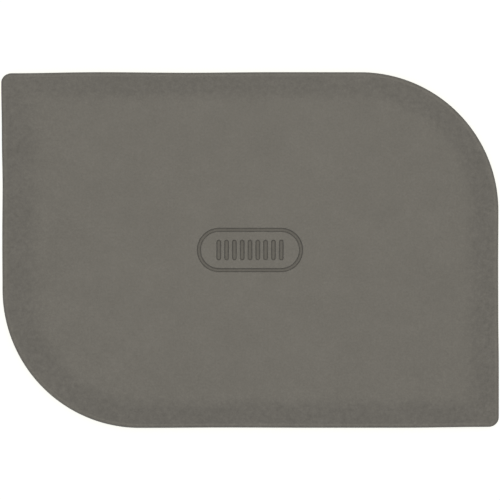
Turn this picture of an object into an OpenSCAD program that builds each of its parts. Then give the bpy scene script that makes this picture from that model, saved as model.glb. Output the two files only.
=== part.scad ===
// Bowl scraper: a stiff core plate with silicone moulded all round it.
// It lies flat on its underside. X runs along its length, Y along its width, Z up.
// The origin is on the underside, at the middle of the outline.
// Two opposite corners are broad sweeps for round bowls, two are tight tips.

/* [Outline] */
// Length of the scraper
body_len = 160; // [110:1:220]
// Width of the scraper
body_wid = 114.4; // [90:0.2:160]
// Radius of the two broad corners, far right and near left
sweep_r = 44.5; // [30:0.5:50]
// Radius of the two tight corners, near right and far left
tip_r = 3.4; // [2:0.2:8]

/* [Thickness] */
// Thickness of the bendy lip behind its rounded edge
lip_t = 1.5; // [1:0.1:2.2]
// How far the rounding of the edge reaches in
edge_round = 0.7; // [0.3:0.05:1.2]
// Height of the flat line round the edge where the two mould halves meet
parting_land = 0.3; // [0.1:0.05:0.8]
// Thickness of the stiff core plate
core_t = 2; // [1:0.1:4]
// Silicone over each face of the core plate
skin_t = 1.1; // [0.7:0.05:2]

/* [Thick panel] */
// Slope from the left edge up to the panel
margin_left = 11.2; // [6:0.1:18]
// Slope from the right edge up to the panel
margin_right = 9.5; // [6:0.1:18]
// Slope from the near edge up to the panel
margin_near = 8.6; // [6:0.1:18]
// Slope from the far edge up to the panel
margin_far = 8.5; // [6:0.1:18]
// How much tighter the panel's broad corners are than the outline's
sweep_step = 9.1; // [5:0.1:12]
// Radius of the panel's tight corners
panel_tip_r = 3.4; // [2:0.2:8]
// Share of the slope that is spent on the soft round at the panel's edge
blend = 0.5; // [0.1:0.05:0.9]

/* [Core plate] */
// Silicone between the edge of the panel's flat and the rim of the core plate
core_inset = 2; // [0.5:0.1:6]
// Radius of the core plate's tight corners
core_tip_r = 5; // [2:0.5:12]
// Diameter of the holes through which the two faces of silicone join
tie_d = 5; // [3:0.5:8]
// Spacing of the holes along each row
tie_pitch = 21; // [14:0.5:30]
// Least width of plate between a hole and the rim
tie_rim = 4; // [3:0.5:10]

/* [Grip mark] */
// Length of the round-ended groove
mark_len = 33.8; // [30:0.2:50]
// Width of the round-ended groove's outline
mark_wid = 14; // [12:0.2:18]
// Width of the groove itself
groove_w = 1.1; // [0.6:0.1:1.5]
// Depth of the groove and of the slots inside it
groove_t = 0.45; // [0.2:0.05:0.65]
// Number of slots
slot_count = 9; // [3:2:9]
// Width of each slot
slot_w = 1.3; // [0.6:0.1:1.6]
// Space between the slots' ends and the groove
slot_gap = 2.7; // [1.5:0.1:3]
// Space between the outer slots and the groove's round ends
slot_end_gap = 5.15; // [4:0.05:6]

/* [Hidden] */
$fn = 64;
tip_fn = 32;
round_steps = 3;
blend_steps = 5;
least_r = 0.3;
cut_over = 1;
silicone_colour = [0.435, 0.424, 0.396];
core_colour = [0.16, 0.17, 0.18];

panel_t = core_t + 2 * skin_t;
mid_z = panel_t / 2;
panel_sweep_r = sweep_r - sweep_step;
blend_start = 1 - blend / 2;
blend_end = 1 + blend / 2;

// Margins of an outline, [left, right, near, far], that lies a share of the way
// from the edge (0) to the panel's edge (1), and then a further inset in.
function margins(share, inset) =
    [for (m = [margin_left, margin_right, margin_near, margin_far]) m * share + inset];

// Corner radii of that outline.
function sweep_at(share, inset) = sweep_r + (panel_sweep_r - sweep_r) * share - inset;
function tip_at(share, inset) = max(least_r, tip_r + (panel_tip_r - tip_r) * share - inset);

// Thickness along the slope. It rises straight, then rounds off onto the flat.
function slope_t(share) =
    share < blend_start
        ? lip_t + (panel_t - lip_t) * share
        : panel_t - (panel_t - lip_t) * pow(blend_end - share, 2) / (2 * blend);

// What a fillet of this radius takes off the corner at the origin.
module corner_waste(radius) {
    difference() {
        translate([-cut_over, -cut_over]) square(radius + cut_over);
        translate([radius, radius]) circle(r = radius);
    }
}

// Rectangle with two broad corners, far right and near left, and two tight ones.
module outline(margin, sweep, tip) {
    left = margin[0] - body_len / 2;
    right = body_len / 2 - margin[1];
    near = margin[2] - body_wid / 2;
    far = body_wid / 2 - margin[3];
    difference() {
        translate([left, near]) square([right - left, far - near]);
        translate([left, near]) corner_waste(sweep);
        translate([right, far]) rotate(180) corner_waste(sweep);
        translate([right, near]) rotate(90) corner_waste(tip, $fn = tip_fn);
        translate([left, far]) rotate(-90) corner_waste(tip, $fn = tip_fn);
    }
}

// One level of the body: an outline as thick as the body is there.
module level(share, inset, thickness) {
    translate([0, 0, mid_z])
        linear_extrude(thickness, center = true)
            outline(margins(share, inset), sweep_at(share, inset), tip_at(share, inset));
}

// The whole outside, as the hull of its levels from the edge to the flat.
module body_shape() {
    hull() {
        for (k = [0 : round_steps]) {
            turn = 90 * k / round_steps;
            level(0, edge_round * (1 - cos(turn)),
                  parting_land + (lip_t - parting_land) * sin(turn));
        }
        for (k = [0 : blend_steps]) {
            share = blend_start + blend * k / blend_steps;
            level(share, edge_round * (1 - share), slope_t(share));
        }
    }
}

// Round-ended slot along the Y axis, with its middle at the origin.
module round_slot(length, width) {
    straight = length - width;
    square([width, straight], center = true);
    for (end = [-1, 1])
        translate([0, end * straight / 2]) circle(d = width, $fn = tip_fn);
}

slot_len = mark_wid - 2 * (groove_w + slot_gap);
slot_span = mark_len - 2 * (groove_w + slot_end_gap) - slot_w;
slot_pitch = slot_span / (slot_count - 1);

// Plain grip mark in the middle of the top face: a groove round a row of slots.
module grip_mark() {
    translate([0, 0, panel_t - groove_t])
        linear_extrude(groove_t + cut_over) {
            rotate(90) difference() {
                round_slot(mark_len, mark_wid);
                round_slot(mark_len - 2 * groove_w, mark_wid - 2 * groove_w);
            }
            for (k = [0 : slot_count - 1])
                translate([slot_pitch * k - slot_span / 2, 0]) round_slot(slot_len, slot_w);
        }
}

// Where the core plate's rim runs, and how far from its middle a hole can be.
core_margin = margins(blend_end, core_inset);
core_sweep_r = sweep_at(blend_end, core_inset);
core_half = [
    body_len - core_margin[0] - core_margin[1],
    body_wid - core_margin[2] - core_margin[3]
] / 2;
core_mid = [core_margin[0] - core_margin[1], core_margin[2] - core_margin[3]] / 2;
tie_edge = tie_rim + tie_d / 2;
tie_reach = core_half - [tie_edge, tie_edge];
tie_row_pitch = tie_pitch * sin(60);
tie_rows = floor(tie_reach[1] / tie_row_pitch);
tie_columns = ceil(tie_reach[0] / tie_pitch);

// Is a hole at this point, from the core's middle, clear of the broad corners?
function clears_sweep(point) =
    let (
        turned = point[0] + point[1] < 0 ? -point : point,
        centre = core_half - [core_sweep_r, core_sweep_r]
    )
    turned[0] < centre[0] || turned[1] < centre[1]
        || norm(turned - centre) + tie_edge < core_sweep_r;

// Hole centres in staggered rows, wherever they leave the rim whole.
tie_points = [
    for (row = [-tie_rows : tie_rows], column = [-tie_columns : tie_columns])
        let (point = [tie_pitch * (column + (row % 2 == 0 ? 0 : 0.5)), tie_row_pitch * row])
        if (abs(point[0]) <= tie_reach[0] && clears_sweep(point)) point + core_mid
];

// Stiff plate inside, with the holes through which the silicone joins.
module core_plate() {
    color(core_colour)
        translate([0, 0, skin_t])
            difference() {
                linear_extrude(core_t) outline(core_margin, core_sweep_r, core_tip_r);
                for (point = tie_points)
                    translate([point[0], point[1], -cut_over])
                        cylinder(h = core_t + 2 * cut_over, d = tie_d, $fn = tip_fn);
            }
}

// Silicone moulded round the plate in one piece, with the grip mark in its top.
module silicone_cover() {
    color(silicone_colour)
        difference() {
            body_shape();
            core_plate();
            grip_mark();
        }
}

silicone_cover();
core_plate();
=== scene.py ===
import math

import bpy
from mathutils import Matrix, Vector, noise
from mathutils.geometry import delaunay_2d_cdt


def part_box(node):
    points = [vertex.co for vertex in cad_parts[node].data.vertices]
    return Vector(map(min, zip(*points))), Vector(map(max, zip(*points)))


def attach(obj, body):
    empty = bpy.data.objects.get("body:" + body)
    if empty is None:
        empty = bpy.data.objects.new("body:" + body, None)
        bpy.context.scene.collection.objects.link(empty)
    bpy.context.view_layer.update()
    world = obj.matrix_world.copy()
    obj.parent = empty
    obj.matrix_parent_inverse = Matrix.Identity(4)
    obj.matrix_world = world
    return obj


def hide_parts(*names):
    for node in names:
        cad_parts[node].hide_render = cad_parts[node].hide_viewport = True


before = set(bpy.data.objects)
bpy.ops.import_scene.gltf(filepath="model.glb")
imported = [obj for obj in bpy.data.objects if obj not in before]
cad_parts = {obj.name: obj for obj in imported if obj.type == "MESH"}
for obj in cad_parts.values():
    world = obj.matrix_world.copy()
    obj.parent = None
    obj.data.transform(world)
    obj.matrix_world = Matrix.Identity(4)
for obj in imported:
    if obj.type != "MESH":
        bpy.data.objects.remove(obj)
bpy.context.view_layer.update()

MM = 0.001

# Sizes below are in millimetres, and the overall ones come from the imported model.
low, high = (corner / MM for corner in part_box("silicone_cover"))
BODY_LEN = high.x - low.x
BODY_WID = high.y - low.y
PANEL_T = high.z - low.z
MID_Z = (high.z + low.z) / 2

# Outline corners: broad ones near left and far right, tight ones near right and far left.
SWEEP_R = 44.5
TIP_R = 3.4
# The thick panel's corners, and the slope up to it from the left, right, near and far edges.
PANEL_SWEEP_R = 35.4
PANEL_TIP_R = 3.4
MARGINS = (11.2, 9.5, 8.6, 8.5)
# Share of the slope that is spent on the soft round at the panel's edge.
BLEND = 0.5
BLEND_START = 1 - BLEND / 2
BLEND_END = 1 + BLEND / 2

# The lip's rounded edge, with the fine flash that the mould's parting line leaves.
LIP_T = 1.5
EDGE_ROUND = 0.7
FLASH_OUT = 0.05
FLASH_T = 0.1
# Half the flash's thickness at its root, as a share of FLASH_T.
FLASH_ROOT = 0.7
# Degrees of the rounding that show between the flash and the lip's face.
ROUND_FROM, ROUND_TO = 12, 82
# The share of the slope's width that stays flat behind the edge, before the lip thickens.
LAND_SHARE = 0.08

# How far the soft edge has drawn in, at equal steps along each side, anticlockwise.
DRAWN_IN = {
    "near": (0.0, 0.13, 0.05, 0.05, 0.32),
    "right": (0.0, 0.0, 0.16, 0.2, 0.12),
    "far": (0.04, 0.02, 0.2, 0.02, 0.36),
    "left": (0.0, 0.2, 0.45, 0.35, 0.42),
}
# The lip's own gentle rise and fall, and the unevenness of the moulded faces.
LIP_WAVE = 0.1
LIP_WAVE_LEN = 55.0
FACE_DIP = 0.03
FACE_DIP_LEN = 14.0
# How far apart the noise is read for the two faces, so that they differ.
FACES_APART = 40.0

# Grip mark in the top face.
MARK_LEN = 33.8
MARK_WID = 14.0
GROOVE_W = 1.1
GROOVE_T = 0.45
SLOT_COUNT = 9
SLOT_W = 1.3
SLOT_LEN = 6.4
SLOT_PITCH = 2.5
# Rounding of the groove's rims, and the height and reach of the hollow that is its floor.
TOP_FILLET = 0.18
BOTTOM_FILLET = 0.25
BOTTOM_REACH = 0.5
# Flat ring that keeps the rim's rounding apart from the face's shading.
SUPPORT = 0.12
RIM = TOP_FILLET + SUPPORT
# Depth below which the mark counts as sunk.
SUNK_FROM = TOP_FILLET * 0.9

# Points along the outlines: spacing on the straights, and steps round the corners.
SIDE_STEP = 2.0
SWEEP_STEPS = 48
TIP_STEPS = 12
# Points up the profiles: closer together where the slope starts.
ROUND_STEPS = 9
SLOPE_SHARES = (0.04, 0.07, 0.08, 0.09, 0.12, 0.25, 0.4, 0.55, 0.67)
BLEND_STEPS = 12
FILLET_STEPS = 6
# Spacing of the points over the flat faces, and the space kept clear round each slot.
FACE_STEP = 2.0
MARK_STEP = 0.9
SLOT_CLEAR = 0.54
# Steps along each straight and round each end of the groove and of a slot.
GROOVE_STEPS = (16, 28)
SLOT_STEPS = (5, 10)
# The triangulation's setting for triangles within the outlines, and its tolerance.
INSIDE_ONLY = 1
SAME_POINT = 1e-7


def mix(a, b, share):
    return a + (b - a) * share


def ease(share):
    """A share from 0 to 1 that starts and stops gently."""
    return share * share * (3 - 2 * share)


def edge_hold(share):
    """How much of the lip's own unevenness is left: 1 at the edge, 0 at the panel."""
    return ease(max(0.0, 1 - share))


# Outlines


def edges(margins):
    """The left, right, near and far edges that these margins leave."""
    left, right = margins[0] - BODY_LEN / 2, BODY_LEN / 2 - margins[1]
    near, far = margins[2] - BODY_WID / 2, BODY_WID / 2 - margins[3]
    return left, right, near, far


def side_lengths():
    """Straight lengths of the near, right, far and left sides of the outermost outline."""
    length = BODY_LEN - SWEEP_R - TIP_R
    width = BODY_WID - SWEEP_R - TIP_R
    return length, width, length, width


def outline(margins, sweep_r, tip_r):
    """Points of an outline, anticlockwise from where the near left corner ends."""
    left, right, near, far = edges(margins)
    corners = [
        (right - tip_r, near + tip_r, tip_r, -90, TIP_STEPS),
        (right - sweep_r, far - sweep_r, sweep_r, 0, SWEEP_STEPS),
        (left + tip_r, far - tip_r, tip_r, 90, TIP_STEPS),
        (left + sweep_r, near + sweep_r, sweep_r, 180, SWEEP_STEPS),
    ]
    side_steps = [round(length / SIDE_STEP) for length in side_lengths()]
    last = Vector((left + sweep_r, near))
    points = []
    for steps_before, (x, y, radius, turn, steps) in zip(side_steps, corners):
        arc = [
            Vector((x + radius * math.cos(angle), y + radius * math.sin(angle)))
            for angle in (math.radians(turn + 90 * k / steps) for k in range(steps + 1))
        ]
        points += [last.lerp(arc[0], k / steps_before) for k in range(steps_before)]
        points += arc[:-1]
        last = arc[-1]
    return points


def level(share, inset):
    """The outline a share of the way from the edge to the panel, and then an inset in."""
    margins = [margin * share + inset for margin in MARGINS]
    sweep_r = mix(SWEEP_R, PANEL_SWEEP_R, share) - inset
    tip_r = mix(TIP_R, PANEL_TIP_R, share) - inset
    return outline(margins, sweep_r, tip_r)


def drawn_in():
    """How far each point of the outline has drawn in, in the order of outline()."""
    sides = list(DRAWN_IN.values())
    corner_steps = (TIP_STEPS, SWEEP_STEPS, TIP_STEPS, SWEEP_STEPS)
    found = []
    for k, (side, length) in enumerate(zip(sides, side_lengths())):
        steps = round(length / SIDE_STEP)
        spans = len(side) - 1
        for i in range(steps):
            at = i / steps * spans
            span = int(at)
            found.append(mix(side[span], side[span + 1], ease(at - span)))
        start = side[-1]
        end = sides[(k + 1) % len(sides)][0]
        found += [mix(start, end, ease(i / corner_steps[k])) for i in range(corner_steps[k])]
    return found


def outward(ring):
    """The outward normals of a closed ring, seen from above."""
    found = []
    for k in range(len(ring)):
        along = (ring[(k + 1) % len(ring)] - ring[k - 1]).xy
        found.append(Vector((along.y, -along.x)).normalized())
    return found


def stadium(length, width, along_x, straight_steps, arc_steps):
    """Points of a round-ended slot about the origin, anticlockwise."""
    radius = width / 2
    half = length / 2 - radius
    points = []
    for end in (1, -1):
        for k in range(arc_steps + 1):
            angle = math.radians(-90 + 180 * k / arc_steps)
            points.append(Vector((half + radius * math.cos(angle), radius * math.sin(angle))) * end)
        for k in range(1, straight_steps):
            points.append(Vector((half - 2 * half * k / straight_steps, radius)) * end)
    return points if along_x else [Vector((-p.y, p.x)) for p in points]


def slot_places():
    """The slots' middles along X."""
    return [SLOT_PITCH * (k - (SLOT_COUNT - 1) / 2) for k in range(SLOT_COUNT)]


# Profiles


def slope_half_t(share):
    """Half the thickness along the slope: flat, then straight up, then rounded off."""
    rise = (PANEL_T - LIP_T) / 2
    if share < BLEND_START:
        up = max(0.0, share - LAND_SHARE) / (BLEND_START - LAND_SHARE)
        return LIP_T / 2 + rise * BLEND_START * up
    return PANEL_T / 2 - rise * (BLEND_END - share) ** 2 / (2 * BLEND)


def profile():
    """Stations (share, inset, half thickness) from the parting line to the panel's flat."""
    stations = [(0, 0, FLASH_T / 2), (0, FLASH_OUT, FLASH_T * FLASH_ROOT)]
    for k in range(ROUND_STEPS + 1):
        angle = math.radians(mix(ROUND_FROM, ROUND_TO, k / ROUND_STEPS))
        inset = FLASH_OUT + (EDGE_ROUND - FLASH_OUT) * (1 - math.cos(angle))
        stations.append((0, inset, LIP_T / 2 * math.sin(angle)))
    blend_shares = [mix(BLEND_START, BLEND_END, k / BLEND_STEPS) for k in range(BLEND_STEPS + 1)]
    for share in [*SLOPE_SHARES, *blend_shares]:
        stations.append((share, EDGE_ROUND * (1 - share), slope_half_t(share)))
    return stations


def wall_profile():
    """Stations (outward from the wall, depth) down one wall of a groove."""
    turns = [math.radians(90 * k / FILLET_STEPS) for k in range(FILLET_STEPS + 1)]
    top = [(TOP_FILLET * (1 - math.sin(a)), TOP_FILLET * (1 - math.cos(a))) for a in turns]
    bottom = [
        (-BOTTOM_REACH * (1 - math.cos(a)), GROOVE_T - BOTTOM_FILLET * (1 - math.sin(a)))
        for a in turns
    ]
    return [(RIM, 0.0), *top, *bottom]


# Where points and triangles of the flat faces may lie


def in_outline(point, margins, sweep_r, tip_r):
    """Whether a point lies inside the outline that has these margins and corners."""
    left, right, near, far = edges(margins)
    if not (left < point.x < right and near < point.y < far):
        return False
    on_left = point.x - left < right - point.x
    on_near = point.y - near < far - point.y
    radius = sweep_r if on_left == on_near else tip_r
    in_x = min(point.x - left, right - point.x)
    in_y = min(point.y - near, far - point.y)
    past_corner = math.hypot(max(0, radius - in_x), max(0, radius - in_y))
    return min(in_x, in_y) >= radius or past_corner < radius


def in_stadium(point, length, width):
    """Whether a point lies inside a round-ended slot along X about the origin."""
    half = (length - width) / 2
    return math.hypot(max(0, abs(point.x) - half), point.y) < width / 2


def on_face(point):
    """Whether a point lies on the panel's flat, half a step clear of its rim."""
    clear = FACE_STEP / 2
    inset = EDGE_ROUND * (1 - BLEND_END) + clear
    margins = [margin * BLEND_END + inset for margin in MARGINS]
    sweep_r = mix(SWEEP_R, PANEL_SWEEP_R, BLEND_END) - clear
    return in_outline(point, margins, sweep_r, PANEL_TIP_R)


def round_mark(point):
    """Whether a point lies on the panel's flat, outside the grip mark."""
    return on_face(point) and not in_stadium(point, MARK_LEN + FACE_STEP, MARK_WID + FACE_STEP)


def in_mark(point):
    """Whether a point lies inside the grip mark, clear of its groove and slots."""
    near_slot = any(
        abs(point.x - x) < SLOT_W / 2 + SLOT_CLEAR and abs(point.y) < SLOT_LEN / 2 + SLOT_CLEAR
        for x in slot_places()
    )
    inset = 2 * (GROOVE_W + MARK_STEP)
    return not near_slot and in_stadium(point, MARK_LEN - inset, MARK_WID - inset)


def in_groove(point):
    """Whether a point lies inside the rim of the groove."""
    return in_stadium(point, MARK_LEN + 2 * RIM, MARK_WID + 2 * RIM)


def in_slots(point):
    """Whether a point lies inside the rim of a slot."""
    return any(
        in_stadium(Vector((point.y, point.x - x)), SLOT_LEN + 2 * RIM, SLOT_W + 2 * RIM)
        for x in slot_places()
    )


def nowhere(point):
    return False


def grid_inside(step, inside):
    """Points on a staggered grid, wherever inside(point) holds."""
    row_step = step * math.sin(math.radians(60))
    rows = math.ceil(BODY_WID / 2 / row_step)
    columns = math.ceil(BODY_LEN / 2 / step)
    return [
        point
        for row in range(-rows, rows + 1)
        for column in range(-columns, columns + 1)
        for point in [Vector((step * (column + row % 2 / 2), row_step * row))]
        if inside(point)
    ]


# The silicone moulding


class Skin:
    """A mesh in the making: points in millimetres, faces that name them, and sunk points."""

    def __init__(self):
        self.points = []
        self.faces = []
        self.sunk = set()

    def add(self, points):
        """Adds points and returns their indices."""
        first = len(self.points)
        self.points += points
        return list(range(first, len(self.points)))

    def bridge(self, ring, other, flip):
        """Quads between two closed rings of as many points. They face out of the ring's left."""
        for k in range(len(ring)):
            after = (k + 1) % len(ring)
            quad = (ring[k], ring[after], other[after], other[k])
            self.faces.append(quad[::-1] if flip else quad)

    def fill(self, rings, inner_points, in_hole, flip):
        """Triangles through the points and between closed rings, the first round the others.
        The others bound holes, where in_hole(point) holds."""
        indices = [index for ring in rings for index in ring]
        flat = [self.points[index].xy for index in indices]
        z = self.points[rings[0][0]].z
        rims = []
        start = 0
        for ring in rings:
            rims += [(start + k, start + (k + 1) % len(ring)) for k in range(len(ring))]
            start += len(ring)
        indices += self.add([Vector((*point, z)) for point in inner_points])
        flat += inner_points
        _, _, triangles, origins, _, _ = delaunay_2d_cdt(flat, rims, [], INSIDE_ONLY, SAME_POINT)
        for triangle in triangles:
            corners = [indices[origins[k][0]] for k in triangle]
            middle = sum((self.points[k].xy for k in corners), Vector((0, 0))) / 3
            if not in_hole(middle):
                self.faces.append(tuple(corners[::-1] if flip else corners))

    def sink(self, stations, length, width, along_x, steps, x, top):
        """Rings of a round-ended shape, one at each station of its wall, joined in turn."""
        rings = []
        for out, depth in stations:
            points = stadium(length + 2 * out, width + 2 * out, along_x, *steps)
            rings.append(self.add([Vector((p.x + x, p.y, top - depth)) for p in points]))
            if depth > SUNK_FROM:
                self.sunk.update(rings[-1])
        for ring, after in zip(rings, rings[1:]):
            self.bridge(ring, after, False)
        return rings

    def settle(self):
        """Gives the moulded faces their slight unevenness, always inwards."""
        for point in self.points:
            side = 1 if point.z > MID_Z else -1
            depth = min(1.0, abs(point.z - MID_Z) / (PANEL_T / 2))
            where = Vector((point.x, point.y, FACES_APART * side))
            dip = 0.5 + 0.5 * noise.noise(where / FACE_DIP_LEN)
            point.z -= side * FACE_DIP * dip * depth

    def make(self, name):
        """The piece, whose sunk attribute is 1 on its sunk points."""
        mesh = bpy.data.meshes.new(name)
        mesh.from_pydata([point * MM for point in self.points], [], self.faces)
        sunk = mesh.attributes.new("sunk", "FLOAT", "POINT")
        sunk.data.foreach_set("value", [float(k in self.sunk) for k in range(len(self.points))])
        mesh.validate()
        mesh.shade_smooth()
        piece = bpy.data.objects.new(name, mesh)
        bpy.context.scene.collection.objects.link(piece)
        return piece


def station_ring(side, share, inset, half_t):
    """The outline at one station of the profile, on the top (1) or the underside (-1)."""
    ring = []
    for point in level(share, inset):
        wave = noise.noise(Vector((*point, 0)) / LIP_WAVE_LEN) * LIP_WAVE * edge_hold(share)
        ring.append(Vector((*point, MID_Z + side * half_t + wave)))
    return ring


def body_rings():
    """For the top (1) and the underside (-1), rings from the parting line in to the flat."""
    stations = profile()
    rings = {side: [station_ring(side, *station) for station in stations] for side in (1, -1)}
    normals = outward(rings[1][0])
    pulls = drawn_in()
    for side_rings in rings.values():
        for (share, _, _), ring in zip(stations, side_rings):
            for point, normal, pull in zip(ring, normals, pulls):
                point.xy = point.xy - normal * pull * edge_hold(share)
    return rings


def mark_rings(skin, top):
    """The groove and the slots of the grip mark. Returns the rings that meet the face:
    the outer one, and the inner one with those of the slots."""
    down = wall_profile()
    up = [(-GROOVE_W - out, depth) for out, depth in reversed(down)]
    groove = skin.sink(down + up, MARK_LEN, MARK_WID, True, GROOVE_STEPS, 0, top)
    slots = []
    for x in slot_places():
        slot = skin.sink(down, SLOT_LEN, SLOT_W, False, SLOT_STEPS, x, top)
        skin.faces.append(tuple(slot[-1]))
        slots.append(slot[0])
    return groove[0], groove[-1], slots


def make_cover():
    """The whole moulding: the lip and slope on both sides, then the two flat faces."""
    skin = Skin()
    rings = {
        side: [skin.add(ring) for ring in side_rings]
        for side, side_rings in body_rings().items()
    }
    for side, side_rings in rings.items():
        for ring, after in zip(side_rings, side_rings[1:]):
            skin.bridge(ring, after, side < 0)
    skin.bridge(rings[-1][0], rings[1][0], False)
    outer, inner, slots = mark_rings(skin, PANEL_T + low.z)
    skin.fill([rings[1][-1], outer], grid_inside(FACE_STEP, round_mark), in_groove, False)
    skin.fill([inner, *slots], grid_inside(MARK_STEP, in_mark), in_slots, False)
    skin.fill([rings[-1][-1]], grid_inside(FACE_STEP, on_face), nowhere, True)
    skin.settle()
    return skin.make("cover_moulding")


# Materials. Noise sizes are in millimetres, and the shifts that keep noises apart in metres.
SILICONE_COLOUR = (0.1245, 0.1152, 0.1035)
SILICONE_IOR = 1.43
SILICONE_ROUGHNESS = (0.54, 0.64)
SILICONE_BUMP = 0.25
SILICONE_BUMP_T = 0.05
GRAIN = 0.6
GRAIN_TONE = 0.11
PORE = 1.6
PORE_TONE = 0.17
PORE_SHIFT = 0.91
CLOUD = 9.0
CLOUD_TONE = 0.055
CLOUD_SHIFT = 0.37
# Painted shade: how much darker the grip mark's sunk faces are, standing in for the shade that
# falls in its groove and slots.
SUNK_PAINTED_SHADE = 0.28

NYLON_COLOUR = (0.022, 0.024, 0.026)
NYLON_ROUGHNESS = (0.42, 0.6)
NYLON_BUMP = 0.3
NYLON_BUMP_T = 0.03
FLECK = 0.5
FLECK_TONE = 0.25
FLOW = 12.0
FLOW_TONE = 0.1
FLOW_SHIFT = 0.2

# The range that holds most of what a noise gives.
NOISE_LOW, NOISE_HIGH = 0.3, 0.7


class Graph:
    """The nodes of a material or a world."""

    def __init__(self, owner):
        owner.use_nodes = True
        self.tree = owner.node_tree

    def find(self, kind):
        """The node of this kind that Blender starts with."""
        return next(node for node in self.tree.nodes if node.type == kind)

    def new(self, kind):
        return self.tree.nodes.new(kind)

    def link(self, source, target):
        self.tree.links.new(source, target)

    def math(self, operation, a, b):
        """A Math node on two numbers or outputs."""
        node = self.new("ShaderNodeMath")
        node.operation = operation
        for at, value in enumerate((a, b)):
            if isinstance(value, (int, float)):
                node.inputs[at].default_value = value
            else:
                self.link(value, node.inputs[at])
        return node.outputs[0]

    def noise(self, size, detail, roughness, shift=0.0):
        """Noise over the object, whose lumps are about this many millimetres wide."""
        where = self.new("ShaderNodeTexCoord")
        move = self.new("ShaderNodeVectorMath")
        move.operation = "ADD"
        move.inputs[1].default_value = (shift, shift, shift)
        self.link(where.outputs["Object"], move.inputs[0])
        texture = self.new("ShaderNodeTexNoise")
        texture.inputs["Scale"].default_value = 1 / (size * MM)
        texture.inputs["Detail"].default_value = detail
        texture.inputs["Roughness"].default_value = roughness
        self.link(move.outputs[0], texture.inputs["Vector"])
        return texture.outputs["Fac"]

    def spread(self, source, lowest, highest):
        """Maps a noise onto a range."""
        node = self.new("ShaderNodeMapRange")
        node.inputs["From Min"].default_value = NOISE_LOW
        node.inputs["From Max"].default_value = NOISE_HIGH
        node.inputs["To Min"].default_value = lowest
        node.inputs["To Max"].default_value = highest
        self.link(source, node.inputs["Value"])
        return node.outputs["Result"]

    def tone(self, source, amount):
        """Maps a noise onto a factor that strays from 1 by this much."""
        return self.spread(source, 1 - amount, 1 + amount)

    def scaled(self, colour, factor):
        """A colour made lighter or darker by a factor."""
        node = self.new("ShaderNodeVectorMath")
        node.operation = "SCALE"
        node.inputs[0].default_value = colour
        self.link(factor, node.inputs["Scale"])
        return node.outputs[0]

    def bump(self, height, strength, thickness):
        """The normal that a height gives, as deep as a thickness in millimetres."""
        node = self.new("ShaderNodeBump")
        node.inputs["Strength"].default_value = strength
        node.inputs["Distance"].default_value = thickness * MM
        self.link(height, node.inputs["Height"])
        return node.outputs["Normal"]

    def colour_mix(self, share, first, second):
        """The first colour where the share is 0, and the second where it is 1."""
        node = self.new("ShaderNodeMix")
        node.data_type = "RGBA"
        sockets = {socket.identifier: socket for socket in [*node.inputs, *node.outputs]}
        self.link(share, sockets["Factor_Float"])
        sockets["A_Color"].default_value = (*first, 1)
        sockets["B_Color"].default_value = (*second, 1)
        return sockets["Result_Color"]

    def seen_rays(self):
        """1 for what the camera sees straight, mirrored or through glass, and otherwise 0."""
        path = self.new("ShaderNodeLightPath")
        mirrored = self.math(
            "MAXIMUM", path.outputs["Is Glossy Ray"], path.outputs["Is Transmission Ray"]
        )
        return self.math("MAXIMUM", path.outputs["Is Camera Ray"], mirrored)


def new_material(name):
    """A material, with its nodes and its shader."""
    material = bpy.data.materials.new(name)
    graph = Graph(material)
    return material, graph, graph.find("BSDF_PRINCIPLED")


def silicone():
    """Warm grey silicone out of a spark-eroded mould: matte, with a fine grain, and painted shade
    on the grip mark's sunk faces.
    """
    material, graph, shader = new_material("silicone")
    grain = graph.noise(GRAIN, detail=2.0, roughness=0.6)
    cloud = graph.noise(CLOUD, detail=3.0, roughness=0.6, shift=CLOUD_SHIFT)
    pore = graph.noise(PORE, detail=3.0, roughness=0.7, shift=PORE_SHIFT)
    tone = graph.math(
        "MULTIPLY",
        graph.tone(grain, GRAIN_TONE),
        graph.math("MULTIPLY", graph.tone(cloud, CLOUD_TONE), graph.tone(pore, PORE_TONE)),
    )
    # Painted shade: the grip mark's sunk points are darkened, standing in for the shade in its
    # recesses.
    sunk = graph.new("ShaderNodeAttribute")
    sunk.attribute_name = "sunk"
    darker = graph.math("MULTIPLY", sunk.outputs["Fac"], SUNK_PAINTED_SHADE)
    tone = graph.math("MULTIPLY", tone, graph.math("SUBTRACT", 1, darker))
    graph.link(graph.scaled(SILICONE_COLOUR, tone), shader.inputs["Base Color"])
    graph.link(graph.spread(pore, *SILICONE_ROUGHNESS), shader.inputs["Roughness"])
    shader.inputs["IOR"].default_value = SILICONE_IOR
    height = graph.math("ADD", grain, pore)
    graph.link(graph.bump(height, SILICONE_BUMP, SILICONE_BUMP_T), shader.inputs["Normal"])
    return material


def nylon():
    """Charcoal glass-filled nylon, with the swirl of short fibres in its skin."""
    material, graph, shader = new_material("nylon")
    fleck = graph.noise(FLECK, detail=4.0, roughness=0.7)
    flow = graph.noise(FLOW, detail=2.0, roughness=0.5, shift=FLOW_SHIFT)
    tone = graph.math("MULTIPLY", graph.tone(fleck, FLECK_TONE), graph.tone(flow, FLOW_TONE))
    graph.link(graph.scaled(NYLON_COLOUR, tone), shader.inputs["Base Color"])
    graph.link(graph.spread(fleck, *NYLON_ROUGHNESS), shader.inputs["Roughness"])
    graph.link(graph.bump(fleck, NYLON_BUMP, NYLON_BUMP_T), shader.inputs["Normal"])
    return material


def paint(piece, material):
    piece.data.materials.clear()
    piece.data.materials.append(material)


# The camera looks straight down, as the photograph's does. Pixels are the photograph's.
PHOTO_PIXELS = 500
OBJECT_PIXELS = 497.6
LENS = 100.0
SENSOR = 36.0
CLIP = (0.01, 10)

# One warm softbox, almost in line with the camera, in a slightly cool white room. Metres, watts.
KEY_PLACE = (0.03, 0.11, 2.2)
KEY_SIZE = 0.6
KEY_POWER = 29.5
KEY_COLOUR = (1.06, 1.0, 0.8)
SKY = 0.25
SKY_COLOUR = (0.82, 1.0, 1.36)
WHITE = (1, 1, 1)

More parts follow.
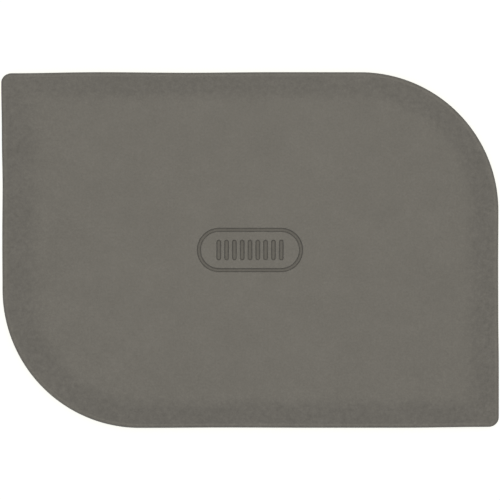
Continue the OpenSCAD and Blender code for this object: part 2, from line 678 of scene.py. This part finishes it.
# The floor, with what it adds to its lit colour where it is seen, so that it reads as white.
FLOOR_SIZE = 0.9
FLOOR_COLOUR = (0.9, 0.9, 0.9)
FLOOR_ROUGHNESS = 0.9
FLOOR_GLOW = 0.3


def make_camera():
    data = bpy.data.cameras.new("camera")
    data.lens = LENS
    data.sensor_width = SENSOR
    data.clip_start, data.clip_end = CLIP
    frame_width = BODY_LEN * PHOTO_PIXELS / OBJECT_PIXELS
    camera = bpy.data.objects.new("camera", data)
    camera.location = (0, 0, (MID_Z + frame_width * LENS / SENSOR) * MM)
    bpy.context.scene.collection.objects.link(camera)
    bpy.context.scene.camera = camera


def make_key():
    """The softbox, which faces the origin."""
    data = bpy.data.lights.new("key", "AREA")
    data.shape = "SQUARE"
    data.size = KEY_SIZE
    data.energy = KEY_POWER
    data.color = KEY_COLOUR
    light = bpy.data.objects.new("key", data)
    light.location = KEY_PLACE
    light.rotation_mode = "QUATERNION"
    light.rotation_quaternion = (-Vector(KEY_PLACE)).to_track_quat("-Z", "Y")
    bpy.context.scene.collection.objects.link(light)


def make_floor():
    half = FLOOR_SIZE / 2
    mesh = bpy.data.meshes.new("floor")
    corners = [(-half, -half, 0), (half, -half, 0), (half, half, 0), (-half, half, 0)]
    mesh.from_pydata(corners, [], [(0, 1, 2, 3)])
    floor = bpy.data.objects.new("floor", mesh)
    bpy.context.scene.collection.objects.link(floor)
    material, graph, shader = new_material("floor")
    shader.inputs["Base Color"].default_value = (*FLOOR_COLOUR, 1)
    shader.inputs["Roughness"].default_value = FLOOR_ROUGHNESS
    shader.inputs["Specular IOR Level"].default_value = 0.0
    shader.inputs["Emission Color"].default_value = (*WHITE, 1)
    glow = graph.math("MULTIPLY", graph.seen_rays(), FLOOR_GLOW)
    graph.link(glow, shader.inputs["Emission Strength"])
    paint(floor, material)


def make_world():
    """A room that is white where it is seen, and otherwise lights softly and coolly."""
    world = bpy.data.worlds.new("world")
    bpy.context.scene.world = world
    graph = Graph(world)
    background = graph.find("BACKGROUND")
    seen = graph.seen_rays()
    graph.link(graph.colour_mix(seen, SKY_COLOUR, WHITE), background.inputs["Color"])
    strength = graph.math("ADD", SKY, graph.math("MULTIPLY", seen, 1 - SKY))
    graph.link(strength, background.inputs["Strength"])


cover = make_cover()
paint(cover, silicone())
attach(cover, "root")
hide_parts("silicone_cover")

paint(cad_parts["core_plate"], nylon())

make_camera()
make_key()
make_floor()
make_world()
bpy.context.scene.view_settings.view_transform = "Standard"
